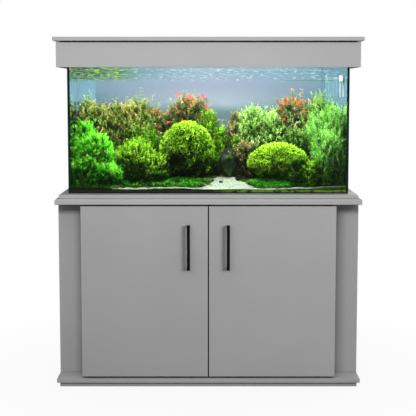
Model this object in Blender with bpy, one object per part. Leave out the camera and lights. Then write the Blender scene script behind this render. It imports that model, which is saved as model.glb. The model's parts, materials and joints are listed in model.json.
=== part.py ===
"""Planted aquarium on a painted two-door stand, with a lift-off hood and a hinged lid.

Metres, +Z up, front towards -Y. The origin is on the floor, under the middle of the object's box.
Every box of the design is given by its low and high corner in that one frame.
"""

import math

import bmesh
import bpy
from mathutils import Vector

# Driving dimensions
GAP = 0.0003  # clearance between pieces that touch
BOARD = 0.018  # painted board
EDGE = 0.0012  # eased edge of a board
WIDTH = 1.320  # cornice, base board and lid
BOARD_DEPTH = 0.580  # cornice, base board and lid, front to back
HANDLE_PROUD = 0.030  # handle's front face, in front of the door
DOOR_SET_BACK = 0.006  # door's front face, behind the cornice's front edge

PLINTH_TOP = 0.019
PLINTH_INSET = 0.012
CARCASS_TOP = 0.7990
LOWER_CORNICE = 0.025
LOWER_CORNICE_ROUND = 0.008
UPPER_CORNICE = 0.016
UPPER_CORNICE_INSET = 0.0165
PILASTER_SET_BACK = 0.120  # pilaster's front face, behind the cornice's front edge
BACK_BOARD = 0.006

DOORS_WIDTH = 1.100
DOOR_GAP = 0.005
DOOR_BOTTOM = 0.0457
DOOR_TOP = 0.7931
DOOR_BUMPER = 0.002  # space between a closed door and the cabinet
HANDLE_LOW, HANDLE_HIGH = 0.517, 0.711
HANDLE_WIDTH = 0.013
HANDLE_X = 0.0857
CUP_R, CUP_DEEP, CUP_FROM_EDGE, CUP_FROM_END = 0.0172, 0.0115, 0.0225, 0.100

FOAM = 0.0047
TANK_SET_BACK = 0.0846  # tank's front glass, behind the cornice's front edge
TANK_WIDTH, TANK_DEPTH, TANK_HEIGHT = 1.2192, 0.4572, 0.6096
GLASS = 0.010
BRACE_WIDTH = 0.050

HOOD_BOTTOM = 1.3855
HOOD_TOP = 1.5131
HOOD_BOARD = 0.0165  # lid and fixed top board
HOOD_INSET = 0.013
LEDGE_WIDTH = 0.044
LID_SPLIT = 0.110  # joint between the lid and the fixed top board, +Y

HINGE_GAP = 0.0070  # joint between the two boards, filled by the folded hinge
HINGE_LEAF = 0.0012
KNUCKLE_R = 0.0026
KNUCKLES = 9
LID_HINGE_LENGTH = 1.170

# Levels and faces worked out from them
Y_BACK = (BOARD_DEPTH + HANDLE_PROUD - DOOR_SET_BACK) / 2
Y_FRONT = Y_BACK - BOARD_DEPTH
HALF = WIDTH / 2
BASE_LOW = PLINTH_TOP + GAP
BASE_TOP = BASE_LOW + BOARD
CARCASS_LOW = BASE_TOP + GAP
LOWER_LOW = CARCASS_TOP + GAP
UPPER_LOW = LOWER_LOW + LOWER_CORNICE + GAP
UPPER_TOP = UPPER_LOW + UPPER_CORNICE
TANK_LOW = UPPER_TOP + 2 * GAP + FOAM
TANK_TOP = TANK_LOW + TANK_HEIGHT
TANK_FRONT = Y_FRONT + TANK_SET_BACK
TANK_BACK = TANK_FRONT + TANK_DEPTH
TANK_HALF = TANK_WIDTH / 2
FLOOR_GLASS_TOP = TANK_LOW + GLASS
WATER_SIDE = TANK_HALF - GLASS
WATER_FRONT = TANK_FRONT + GLASS
WATER_BACK = TANK_BACK - GLASS
DOOR_FRONT = Y_FRONT + DOOR_SET_BACK
DOOR_BACK = DOOR_FRONT + BOARD
DOOR_OUTER = DOORS_WIDTH / 2
UPRIGHT_FRONT = DOOR_BACK + DOOR_BUMPER
PILASTER_FRONT = Y_FRONT + PILASTER_SET_BACK
HOOD_HALF = HALF - HOOD_INSET
HOOD_FRONT = Y_FRONT + HOOD_INSET
HOOD_BACK = Y_BACK - HOOD_INSET
HOOD_BOARD_LOW = HOOD_TOP - HOOD_BOARD
HOOD_WALL_TOP = HOOD_BOARD_LOW - GAP
SEAL_GAP = 0.006  # room for a soft seal between the front panel and the lid
LEDGE_LOW = TANK_TOP + GAP
LEDGE_TOP = LEDGE_LOW + BOARD

# Ground inside the tank: a shallow strip along the front glass, then one even slope to the back
GROUND_FRONT = 0.016
GROUND_BREAK_Y = WATER_FRONT + 0.030
GROUND_BACK = 0.120

PAINT = (0.42, 0.42, 0.425)
BLACK = (0.012, 0.012, 0.013)
STEEL = (0.60, 0.60, 0.62)


def clear_scene():
    for old in list(bpy.data.objects):
        bpy.data.objects.remove(old, do_unlink=True)


def material(name, colour, roughness, metallic=0.0, alpha=1.0):
    found = bpy.data.materials.get(name)
    if found:
        return found
    made = bpy.data.materials.new(name)
    made.use_nodes = True
    shader = made.node_tree.nodes["Principled BSDF"]
    shader.inputs["Base Color"].default_value = (*colour, 1.0)
    shader.inputs["Roughness"].default_value = roughness
    shader.inputs["Metallic"].default_value = metallic
    shader.inputs["Alpha"].default_value = alpha
    made.diffuse_color = (*colour, alpha)
    return made


def paint():
    return material("grey_paint", PAINT, 0.5)


def glass():
    return material("tank_glass", (0.55, 0.75, 0.70), 0.03, alpha=0.35)


def steel():
    return material("hinge_steel", STEEL, 0.35, metallic=1.0)


def empty(name, place, parent=None):
    """A frame on a joint's axis, which the pieces of a moving body hang from."""
    made = bpy.data.objects.new(name, None)
    bpy.context.scene.collection.objects.link(made)
    made.empty_display_size = 0.05
    made.parent = parent
    made.location = Vector(place) - (parent.location if parent else Vector())
    return made


def world_place(thing):
    return thing.location + (world_place(thing.parent) if thing.parent else Vector())


def finish_piece(name, mesh_data, surface, on=None, origin=None):
    """Turns a bmesh in world coordinates into a named object, with its origin at origin or on its joint."""
    bmesh.ops.recalc_face_normals(mesh_data, faces=mesh_data.faces)
    if origin is None:
        origin = world_place(on) if on else Vector()
    origin = Vector(origin)
    bmesh.ops.translate(mesh_data, verts=mesh_data.verts, vec=-origin)
    mesh = bpy.data.meshes.new(name)
    mesh_data.to_mesh(mesh)
    mesh_data.free()
    made = bpy.data.objects.new(name, mesh)
    bpy.context.scene.collection.objects.link(made)
    mesh.materials.append(surface)
    made.parent = on
    made.location = origin - (world_place(on) if on else Vector())
    return made


def box_mesh(low, high):
    low, high = Vector(low), Vector(high)
    made = bmesh.new()
    bmesh.ops.create_cube(made, size=1.0)
    size = high - low
    for vert in made.verts:
        vert.co = Vector((vert.co[i] * size[i] + (low[i] + high[i]) / 2 for i in range(3)))
    return made


def box(name, low, high, surface, on=None, edge=EDGE, segments=2):
    """A board or block from its low to its high corner, with eased edges."""
    centre = (Vector(low) + Vector(high)) / 2
    made = finish_piece(name, box_mesh(low, high), surface, on, None if on else centre)
    if edge:
        ease = made.modifiers.new("eased_edges", "BEVEL")
        ease.width = edge
        ease.segments = segments
    return made


def mirrored(side, low, high):
    """The same box on the left (side -1) or on the right (side +1)."""
    near, far = sorted((side * low[0], side * high[0]))
    return (near, low[1], low[2]), (far, high[1], high[2])


def rod_mesh(end_a, end_b, radius, sides=24):
    """A straight round rod from one point to the other."""
    a, b = Vector(end_a), Vector(end_b)
    turn = (b - a).to_track_quat("Z", "Y").to_matrix()
    made = bmesh.new()
    rings = []
    for point in (a, b):
        ring = []
        for i in range(sides):
            angle = 2 * math.pi * i / sides
            spoke = turn @ Vector((math.cos(angle), math.sin(angle), 0.0)) * radius
            ring.append(made.verts.new(point + spoke))
        rings.append(ring)
    for i in range(sides):
        j = (i + 1) % sides
        made.faces.new((rings[0][i], rings[0][j], rings[1][j], rings[1][i]))
    made.faces.new(rings[0])
    made.faces.new(rings[1])
    return made


def smooth_round(made, degrees=35):
    made.data.shade_smooth()
    made.data.set_sharp_from_angle(angle=math.radians(degrees))


def helper(name, mesh_data, on=None):
    """A cutter or an added shape for a Boolean, which is not a piece of its own."""
    made = finish_piece(name, mesh_data, paint(), on)
    made.hide_render = True
    made.display_type = "WIRE"
    return made


def boolean(piece, other, operation):
    change = piece.modifiers.new(f"{operation.lower()}_{other.name}", "BOOLEAN")
    change.operation = operation
    change.solver = "EXACT"
    change.object = other


def extrude_outline(outline, low_x, high_x):
    """A solid whose YZ outline runs from low_x to high_x."""
    made = bmesh.new()
    first = [made.verts.new((low_x, y, z)) for y, z in outline]
    second = [made.verts.new((high_x, y, z)) for y, z in outline]
    made.faces.new(first)
    made.faces.new(second)
    for i in range(len(outline)):
        j = (i + 1) % len(outline)
        made.faces.new((first[i], first[j], second[j], second[i]))
    return made


# The stand


def make_plinth():
    side, front, back = HALF - PLINTH_INSET, Y_FRONT + PLINTH_INSET, Y_BACK - PLINTH_INSET
    box("plinth_front", (-side, front, 0), (side, front + BOARD, PLINTH_TOP), paint())
    box("plinth_back", (-side, back - BOARD, 0), (side, back, PLINTH_TOP), paint())
    for name, sign in (("left", -1), ("right", 1)):
        low, high = mirrored(
            sign, (side - BOARD, front + BOARD + GAP, 0), (side, back - BOARD - GAP, PLINTH_TOP)
        )
        box(f"plinth_{name}", low, high, paint())


def make_carcass():
    box("base_board", (-HALF, Y_FRONT, BASE_LOW), (HALF, Y_BACK, BASE_TOP), paint())
    pilaster_back = PILASTER_FRONT + BOARD
    upright_back = pilaster_back + 0.040
    for name, sign in (("left", -1), ("right", 1)):
        low, high = mirrored(
            sign, (HALF - BOARD, pilaster_back + GAP, CARCASS_LOW), (HALF, Y_BACK, CARCASS_TOP)
        )
        box(f"{name}_side_panel", low, high, paint())
        low, high = mirrored(
            sign, (DOOR_OUTER + GAP, PILASTER_FRONT, CARCASS_LOW), (HALF, pilaster_back, CARCASS_TOP)
        )
        box(f"{name}_pilaster", low, high, paint())
        low, high = mirrored(
            sign,
            (DOOR_OUTER - BOARD, UPRIGHT_FRONT, CARCASS_LOW),
            (DOOR_OUTER, upright_back, CARCASS_TOP),
        )
        box(f"{name}_hinge_upright", low, high, paint())
    box(
        "centre_divider",
        (-BOARD / 2, UPRIGHT_FRONT, CARCASS_LOW),
        (BOARD / 2, Y_BACK - BACK_BOARD - GAP, CARCASS_TOP),
        paint(),
    )


def make_back_panel():
    """Thin back board between the side panels, with a hose and cable hole behind each door."""
    side = HALF - BOARD - GAP
    panel = box(
        "back_panel",
        (-side, Y_BACK - BACK_BOARD, CARCASS_LOW),
        (side, Y_BACK, CARCASS_TOP),
        paint(),
        edge=0.0,
    )
    for name, sign in (("left", -1), ("right", 1)):
        low, high = mirrored(sign, (0.270, Y_BACK - 0.030, 0.600), (0.430, Y_BACK + 0.030, 0.700))
        boolean(panel, helper(f"{name}_hose_hole_cutter", box_mesh(low, high)), "DIFFERENCE")


def make_cornice():
    """Two boards: the lower one has a rounded top edge, the upper one is set in from it."""
    lower = box_mesh((-HALF, Y_FRONT, LOWER_LOW), (HALF, Y_BACK, LOWER_LOW + LOWER_CORNICE))
    top_edges = [edge for edge in lower.edges if min(v.co.z for v in edge.verts) > LOWER_LOW + 0.01]
    bmesh.ops.bevel(
        lower,
        geom=top_edges,
        offset=LOWER_CORNICE_ROUND,
        segments=4,
        profile=0.5,
        affect="EDGES",
    )
    smooth_round(finish_piece("cornice_lower_board", lower, paint()), 25)
    inset = UPPER_CORNICE_INSET
    box(
        "cornice_upper_board",
        (-HALF + inset, Y_FRONT + inset, UPPER_LOW),
        (HALF - inset, Y_BACK - inset, UPPER_TOP),
        paint(),
        edge=0.002,
    )


# The doors


def make_door(name, sign):
    """One overlay door: board, bar handle, and two concealed hinges at its outer edge."""
    axis = empty(f"{name}_door_axis", (sign * DOOR_OUTER, DOOR_BACK, 0))
    low, high = mirrored(
        sign, (DOOR_GAP / 2, DOOR_FRONT, DOOR_BOTTOM), (DOOR_OUTER, DOOR_BACK, DOOR_TOP)
    )
    door = box(f"{name}_door", low, high, paint(), on=axis)
    cup_x = sign * (DOOR_OUTER - CUP_FROM_EDGE)
    levels = (("low", DOOR_BOTTOM + CUP_FROM_END), ("high", DOOR_TOP - CUP_FROM_END))
    for level, z in levels:
        bore = rod_mesh(
            (cup_x, DOOR_BACK - CUP_DEEP - 2 * GAP, z), (cup_x, DOOR_BACK + 0.01, z), CUP_R + GAP, 32
        )
        boolean(door, helper(f"{name}_{level}_cup_cutter", bore, axis), "DIFFERENCE")
        make_hinge_cup(f"{name}_{level}", axis, cup_x, z)
        make_hinge_arm(f"{name}_{level}", sign, z)
    make_handle(name, sign, axis)


def make_hinge_cup(name, axis, x, z):
    """Cup let into the door, with its flange on the door's back and its link towards the arm."""
    flange_front = DOOR_BACK + GAP
    cup = finish_piece(
        f"{name}_hinge_cup",
        rod_mesh((x, DOOR_BACK - CUP_DEEP, z), (x, flange_front + 0.0008, z), CUP_R, 32),
        steel(),
        axis,
    )
    flange = box_mesh((x - 0.011, flange_front, z - 0.030), (x + 0.011, flange_front + 0.0014, z + 0.030))
    boolean(cup, helper(f"{name}_flange", flange, axis), "UNION")
    link = box_mesh((x - 0.0025, DOOR_BACK - 0.004, z - 0.008), (x + 0.0025, DOOR_BACK + 0.020, z + 0.008))
    boolean(cup, helper(f"{name}_link", link, axis), "UNION")
    smooth_round(cup)


def make_hinge_arm(name, sign, z):
    """Arm and mounting plate on the upright's inner face. It stops just behind the cup's link."""
    inner = DOOR_OUTER - BOARD
    low, high = mirrored(
        sign, (inner - 0.012, DOOR_BACK + 0.0215, z - 0.009), (inner - 0.002, DOOR_BACK + 0.075, z + 0.009)
    )
    arm = box(f"{name}_hinge_arm", low, high, steel(), edge=0.0)
    low, high = mirrored(
        sign, (inner - 0.004, DOOR_BACK + 0.034, z - 0.026), (inner - GAP, DOOR_BACK + 0.064, z + 0.026)
    )
    boolean(arm, helper(f"{name}_mounting_plate", box_mesh(low, high)), "UNION")


def make_handle(name, sign, axis):
    """Square bar on two legs, made from one outline that is bent like a staple."""
    x, half = sign * HANDLE_X, HANDLE_WIDTH / 2
    front, back = DOOR_FRONT - HANDLE_PROUD, DOOR_FRONT - GAP
    inner = front + HANDLE_WIDTH * 0.8
    outline = [
        (front, HANDLE_LOW),
        (back, HANDLE_LOW),
        (back, HANDLE_LOW + HANDLE_WIDTH),
        (inner, HANDLE_LOW + HANDLE_WIDTH),
        (inner, HANDLE_HIGH - HANDLE_WIDTH),
        (back, HANDLE_HIGH - HANDLE_WIDTH),
        (back, HANDLE_HIGH),
        (front, HANDLE_HIGH),
    ]
    black = material("handle_black", BLACK, 0.45)
    handle = finish_piece(f"{name}_handle", extrude_outline(outline, x - half, x + half), black, axis)
    ease = handle.modifiers.new("eased_edges", "BEVEL")
    ease.width = 0.0010
    ease.segments = 2


# The tank


def make_tank():
    """Five glass panes, front and back braces, the foam mat below and the film behind."""
    front, back, half = TANK_FRONT, TANK_BACK, TANK_HALF
    inside, top = GLASS + GAP, TANK_TOP
    foam = material("foam_mat", (0.02, 0.02, 0.02), 0.95)
    box(
        "foam_mat",
        (-half + 0.001, front + 0.001, UPPER_TOP + GAP),
        (half - 0.001, back - 0.001, UPPER_TOP + GAP + FOAM),
        foam,
        edge=0.0,
    )
    box("tank_front_glass", (-half, front, TANK_LOW), (half, front + GLASS, top), glass(), edge=0.0008)
    box("tank_back_glass", (-half, back - GLASS, TANK_LOW), (half, back, top), glass(), edge=0.0008)
    for name, sign in (("left", -1), ("right", 1)):
        low, high = mirrored(
            sign, (half - GLASS, front + inside, TANK_LOW), (half, back - inside, top)
        )
        box(f"tank_{name}_glass", low, high, glass(), edge=0.0008)
    box(
        "tank_bottom_glass",
        (-half + inside, front + inside, TANK_LOW),
        (half - inside, back - inside, FLOOR_GLASS_TOP),
        glass(),
        edge=0.0,
    )
    brace_low = top - 0.004 - GLASS
    box(
        "tank_front_brace",
        (-half + inside, front + inside, brace_low),
        (half - inside, front + inside + BRACE_WIDTH, brace_low + GLASS),
        glass(),
        edge=0.0008,
    )
    box(
        "tank_back_brace",
        (-half + inside, back - inside - BRACE_WIDTH, brace_low),
        (half - inside, back - inside, brace_low + GLASS),
        glass(),
        edge=0.0008,
    )
    film = material("background_film", (0.35, 0.50, 0.62), 0.6)
    box(
        "background_film",
        (-half + 0.004, back + GAP, TANK_LOW + 0.002),
        (half - 0.004, back + GAP + 0.0008, HOOD_BOTTOM + 0.030),
        film,
        edge=0.0,
    )


def ground_height(y):
    """Height of the ground at a depth in the tank, on its two straight stretches."""
    if y <= GROUND_BREAK_Y:
        return FLOOR_GLASS_TOP + GROUND_FRONT
    share = (y - GROUND_BREAK_Y) / (WATER_BACK - GROUND_BREAK_Y)
    return FLOOR_GLASS_TOP + GROUND_FRONT + share * (GROUND_BACK - GROUND_FRONT)


def make_ground():
    low = FLOOR_GLASS_TOP + GAP
    front, back = WATER_FRONT + GAP, WATER_BACK - GAP
    outline = [
        (front, low),
        (back, low),
        (back, ground_height(back)),
        (GROUND_BREAK_Y, ground_height(GROUND_BREAK_Y)),
        (front, ground_height(front)),
    ]
    sand = material("substrate", (0.30, 0.27, 0.20), 0.9)
    side = WATER_SIDE - 2 * GAP
    finish_piece("substrate", extrude_outline(outline, -side, side), sand)


def make_mound(name, centre, radii, top, surface, roundness=2.2, sectors=20, rings=5):
    """A dome of plants: an oval in plan, whose underside lies just above the ground's slope."""
    made = bmesh.new()
    under = 0.001
    cx, cy = centre

    def ring_at(share, height_of):
        ring = []
        for i in range(sectors):
            angle = 2 * math.pi * i / sectors
            x = cx + radii[0] * share * math.cos(angle)
            y = cy + radii[1] * share * math.sin(angle)
            ring.append(made.verts.new((x, y, height_of(share, y))))
        return ring

    def dome(share, y):
        base = ground_height(y) + under
        lift = (1.0 - share**roundness) ** (1.0 / roundness)
        return base + (top - base) * (0.12 + 0.88 * lift)

    foot = ring_at(0.96, lambda share, y: ground_height(y) + under)
    circles = [foot] + [ring_at(math.sin(math.pi / 2 * k / rings), dome) for k in range(rings, 0, -1)]
    for lower, upper in zip(circles, circles[1:]):
        for i in range(sectors):
            j = (i + 1) % sectors
            made.faces.new((lower[i], lower[j], upper[j], upper[i]))
    tip = made.verts.new((cx, cy, top))
    last = circles[-1]
    for i in range(sectors):
        made.faces.new((last[i], last[(i + 1) % sectors], tip))
    made.faces.new(foot)
    bmesh.ops.triangulate(made, faces=[f for f in made.faces if len(f.verts) > 4])
    piece = finish_piece(name, made, surface)
    smooth_round(piece, 60)
    return piece


def make_plants():
    """Each clump of plants as one plain dome, in its place on the slope."""
    leaf = material("leaf_green", (0.10, 0.30, 0.03), 0.6)
    olive = material("leaf_olive", (0.14, 0.20, 0.04), 0.6)
    red = material("leaf_red", (0.42, 0.12, 0.05), 0.6)
    moss = material("moss_green", (0.12, 0.25, 0.03), 0.8)
    stone = material("stone", (0.08, 0.08, 0.08), 0.85)
    make_mound("moss_ball", (-0.095, -0.020), (0.118, 0.088), 1.148, moss)
    make_mound("moss_mound", (0.310, -0.050), (0.150, 0.080), 1.056, moss)
    make_mound("front_left_bush", (-0.505, -0.070), (0.088, 0.076), 1.101, leaf)
    make_mound("middle_left_bush", (-0.318, -0.030), (0.094, 0.086), 1.095, leaf)
    make_mound("back_left_plants", (-0.405, 0.150), (0.180, 0.086), 1.245, olive)
    make_mound("red_plants_left", (-0.090, 0.158), (0.126, 0.082), 1.285, red)
    make_mound("pale_bush", (0.200, 0.130), (0.095, 0.100), 1.225, leaf)
    make_mound("red_plants_right", (0.375, 0.160), (0.072, 0.084), 1.285, red)
    make_mound("tall_right_plants", (0.523, 0.050), (0.068, 0.150), 1.254, leaf, roundness=3.0)
    make_mound("centre_rock", (0.090, 0.000), (0.045, 0.040), 1.000, stone, sectors=12, rings=3)


def make_return_pipe():
    """Clear pipe from the filter: down inside the back glass, bent over the rim to its hose end."""
    radius, bend, sides, steps = 0.008, 0.022, 12, 6
    x = 0.526
    y_inside = WATER_BACK - 0.016 - BRACE_WIDTH
    z_top = TANK_TOP + 0.012
    path = [Vector((x, y_inside, 1.262)), Vector((x, y_inside, z_top - bend))]
    for k in range(1, steps + 1):
        angle = math.pi / 2 * k / steps
        y = y_inside + bend * (1 - math.cos(angle))
        path.append(Vector((x, y, z_top - bend + bend * math.sin(angle))))
    path.append(Vector((x, Y_BACK - 0.002, z_top)))
    made = bmesh.new()
    across = Vector((1, 0, 0))
    rings = []
    for k, point in enumerate(path):
        ahead = path[min(k + 1, len(path) - 1)] - path[max(k - 1, 0)]
        normal = ahead.normalized().cross(across)
        ring = []
        for i in range(sides):
            angle = 2 * math.pi * i / sides
            spoke = math.cos(angle) * across + math.sin(angle) * normal
            ring.append(made.verts.new(point + radius * spoke))
        rings.append(ring)
    for first, second in zip(rings, rings[1:]):
        for i in range(sides):
            j = (i + 1) % sides
            made.faces.new((first[i], first[j], second[j], second[i]))
    made.faces.new(rings[0])
    made.faces.new(rings[-1])
    clear = material("clear_pipe", (0.75, 0.85, 0.85), 0.05, alpha=0.35)
    smooth_round(finish_piece("filter_return_pipe", made, clear))


def make_diffuser():
    """White gas diffuser beside the right-hand pane: a capped disc on two thin rods."""
    white = material("white_plastic", (0.85, 0.86, 0.86), 0.35)
    x, y, top = 0.580, -0.140, 1.352
    disc = finish_piece(
        "gas_diffuser", rod_mesh((x, y, top - 0.024), (x, y, top), 0.0115, 20), white
    )
    for name, offset in (("near", -0.007), ("far", 0.007)):
        rod = rod_mesh((x + offset, y, top - 0.092), (x + offset, y, top - 0.012), 0.0022, 10)
        boolean(disc, helper(f"diffuser_rod_{name}", rod), "UNION")
    smooth_round(disc)


# The hood


def make_hood():
    """Open-bottomed box around the tank's rim. It rests on two ledges and lifts off."""
    lift = empty("hood_lift", (0, 0, LEDGE_LOW))
    inner = HOOD_HALF - BOARD
    box(
        "hood_front_panel",
        (-HOOD_HALF, HOOD_FRONT, HOOD_BOTTOM),
        (HOOD_HALF, HOOD_FRONT + BOARD, HOOD_WALL_TOP - SEAL_GAP),
        paint(),
        on=lift,
    )
    back = box(
        "hood_back_rail",
        (-HOOD_HALF, HOOD_BACK - BOARD, HOOD_BOTTOM),
        (HOOD_HALF, HOOD_BACK, HOOD_WALL_TOP),
        paint(),
        on=lift,
        edge=0.0,
    )
    for name, sign in (("left", -1), ("right", 1)):
        low, high = mirrored(
            sign,
            (0.480, HOOD_BACK - 0.040, HOOD_BOTTOM - 0.020),
            (0.572, HOOD_BACK + 0.020, TANK_TOP + 0.026),
        )
        boolean(back, helper(f"{name}_hose_notch_cutter", box_mesh(low, high), lift), "DIFFERENCE")
        low, high = mirrored(
            sign,
            (inner, HOOD_FRONT + BOARD + GAP, HOOD_BOTTOM),
            (HOOD_HALF, HOOD_BACK - BOARD - GAP, HOOD_WALL_TOP),
        )
        box(f"hood_{name}_side", low, high, paint(), on=lift)
        low, high = mirrored(
            sign,
            (inner - GAP - LEDGE_WIDTH, HOOD_FRONT + BOARD + GAP, LEDGE_LOW),
            (inner - GAP, HOOD_BACK - BOARD - GAP, LEDGE_TOP),
        )
        box(f"hood_{name}_ledge", low, high, paint(), on=lift, edge=0.0)
    box(
        "hood_fixed_top",
        (-HALF, LID_SPLIT + HINGE_GAP / 2, HOOD_BOARD_LOW),
        (HALF, Y_BACK, HOOD_TOP),
        paint(),
        on=lift,
    )
    lamp = material("light_housing", (0.70, 0.71, 0.72), 0.4, metallic=0.6)
    reach = inner - 0.004
    box(
        "light_unit",
        (-reach, 0.010, LEDGE_TOP + GAP),
        (reach, 0.100, LEDGE_TOP + 0.018),
        lamp,
        on=lift,
        edge=0.002,
    )
    return lift


def hinge_leaf(name, plate_front, axis, on, odd):
    """Half of the long folded hinge: a plate in the joint, with every second knuckle on a tab above it."""
    half = LID_HINGE_LENGTH / 2
    plate_back, plate_top = plate_front + HINGE_LEAF, axis.z - KNUCKLE_R - GAP
    plate = box_mesh((-half, plate_front, HOOD_BOARD_LOW + 0.001), (half, plate_back, plate_top))
    leaf = finish_piece(name, plate, steel(), on)
    pitch = LID_HINGE_LENGTH / KNUCKLES
    for k in range(odd, KNUCKLES, 2):
        start, stop = -half + k * pitch + GAP, -half + (k + 1) * pitch - GAP
        tab = box_mesh((start, plate_front, plate_top - 0.001), (stop, plate_back, axis.z - 0.0004))
        boolean(leaf, helper(f"{name}_tab_{k}", tab, on), "UNION")
        knuckle = rod_mesh((start, axis.y, axis.z), (stop, axis.y, axis.z), KNUCKLE_R, 12)
        boolean(leaf, helper(f"{name}_knuckle_{k}", knuckle, on), "UNION")
    smooth_round(leaf)
    return leaf


def make_lid(lift):
    """Front board of the hood's top, turning up about the long hinge behind it."""
    place = Vector((0, LID_SPLIT, HOOD_TOP + KNUCKLE_R * 0.2))
    axis = empty("lid_axis", place, lift)
    box(
        "lid",
        (-HALF, Y_FRONT, HOOD_BOARD_LOW),
        (HALF, LID_SPLIT - HINGE_GAP / 2, HOOD_TOP),
        paint(),
        on=axis,
    )
    fixed_front = LID_SPLIT + HINGE_GAP / 2 - GAP - HINGE_LEAF
    hinge_leaf("lid_hinge_fixed_leaf", fixed_front, place, lift, 0)
    moving_front = LID_SPLIT - HINGE_GAP / 2 + GAP
    hinge_leaf("lid_hinge_moving_leaf", moving_front, place, axis, 1)


def main():
    clear_scene()
    make_plinth()
    make_carcass()
    make_back_panel()
    make_cornice()
    for name, sign in (("left", -1), ("right", 1)):
        make_door(name, sign)
    make_tank()
    make_ground()
    make_plants()
    make_return_pipe()
    make_diffuser()
    make_lid(make_hood())
    bpy.context.view_layer.update()


main()
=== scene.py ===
"""Looks of the planted aquarium on its painted stand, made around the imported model.

Metres, in the model's own frame: +X to the right, -Y towards the viewer, +Z up, floor at Z 0.
"""

import json
import math

import bmesh
import bpy
import numpy as np
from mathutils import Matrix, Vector, noise

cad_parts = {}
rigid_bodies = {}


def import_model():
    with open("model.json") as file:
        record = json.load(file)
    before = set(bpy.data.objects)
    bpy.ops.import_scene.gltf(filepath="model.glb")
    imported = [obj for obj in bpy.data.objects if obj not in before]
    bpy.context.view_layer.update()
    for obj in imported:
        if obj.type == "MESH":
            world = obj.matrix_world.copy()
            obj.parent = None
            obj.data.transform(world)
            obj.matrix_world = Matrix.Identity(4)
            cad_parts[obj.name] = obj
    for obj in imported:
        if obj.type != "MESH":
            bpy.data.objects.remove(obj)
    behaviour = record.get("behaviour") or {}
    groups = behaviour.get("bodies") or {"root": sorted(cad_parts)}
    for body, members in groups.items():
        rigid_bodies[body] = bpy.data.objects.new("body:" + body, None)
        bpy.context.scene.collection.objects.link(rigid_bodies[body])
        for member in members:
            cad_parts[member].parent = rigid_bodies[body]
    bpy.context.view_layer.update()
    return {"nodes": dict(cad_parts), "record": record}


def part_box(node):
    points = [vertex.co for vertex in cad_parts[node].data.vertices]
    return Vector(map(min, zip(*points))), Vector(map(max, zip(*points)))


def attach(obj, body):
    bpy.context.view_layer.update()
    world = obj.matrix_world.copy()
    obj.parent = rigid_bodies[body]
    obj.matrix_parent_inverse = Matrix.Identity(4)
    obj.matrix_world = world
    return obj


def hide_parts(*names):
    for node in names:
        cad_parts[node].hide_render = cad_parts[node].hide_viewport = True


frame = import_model()

# ---------------------------------------------------------------- places read from the model

FRONT_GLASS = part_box("tank_front_glass")
LEFT_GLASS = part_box("tank_left_glass")
BACK_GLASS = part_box("tank_back_glass")
FLOOR_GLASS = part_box("tank_bottom_glass")

WATER_GAP = 0.0004
WATER_DEPTH = 0.544
WATER_SIDE = -LEFT_GLASS[1].x - WATER_GAP
WATER_FRONT = FRONT_GLASS[1].y + WATER_GAP
WATER_BACK = BACK_GLASS[0].y - WATER_GAP
WATER_LOW = FLOOR_GLASS[1].z + WATER_GAP
WATER_TOP = WATER_LOW + WATER_DEPTH

GROUND_FRONT_Z = 0.872
GROUND_BACK_Z = 0.976
GROUND_BREAK_Y = WATER_FRONT + 0.030
GROUND_GAP = 0.0006
SAND_LEFT_END = -0.42

PLANT_LOW = (-(WATER_SIDE - 0.002), WATER_FRONT + 0.002, WATER_LOW + 0.001)
PLANT_HIGH = (WATER_SIDE - 0.002, WATER_BACK - 0.002, WATER_TOP - 0.004)
CORE_WALL_GAP = 0.004
CORE_DEPTH_IN_GROUND = 0.004


# ---------------------------------------------------------------- camera

CAMERA_PLACE = (-0.0017, -5.023, 1.290)
CAMERA_LENS_MM = 96.29
CAMERA_TILT_DEGREES = 6.062


def make_camera():
    """Level with the plants' tops, about five metres in front of the stand and tilted down a little."""
    data = bpy.data.cameras.new("camera")
    data.sensor_width = 36.0
    data.lens = CAMERA_LENS_MM
    camera = bpy.data.objects.new("camera", data)
    bpy.context.scene.collection.objects.link(camera)
    camera.location = CAMERA_PLACE
    camera.rotation_euler = (math.radians(90.0 - CAMERA_TILT_DEGREES), 0.0, 0.0)
    bpy.context.scene.camera = camera


# ---------------------------------------------------------------- node helper


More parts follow.
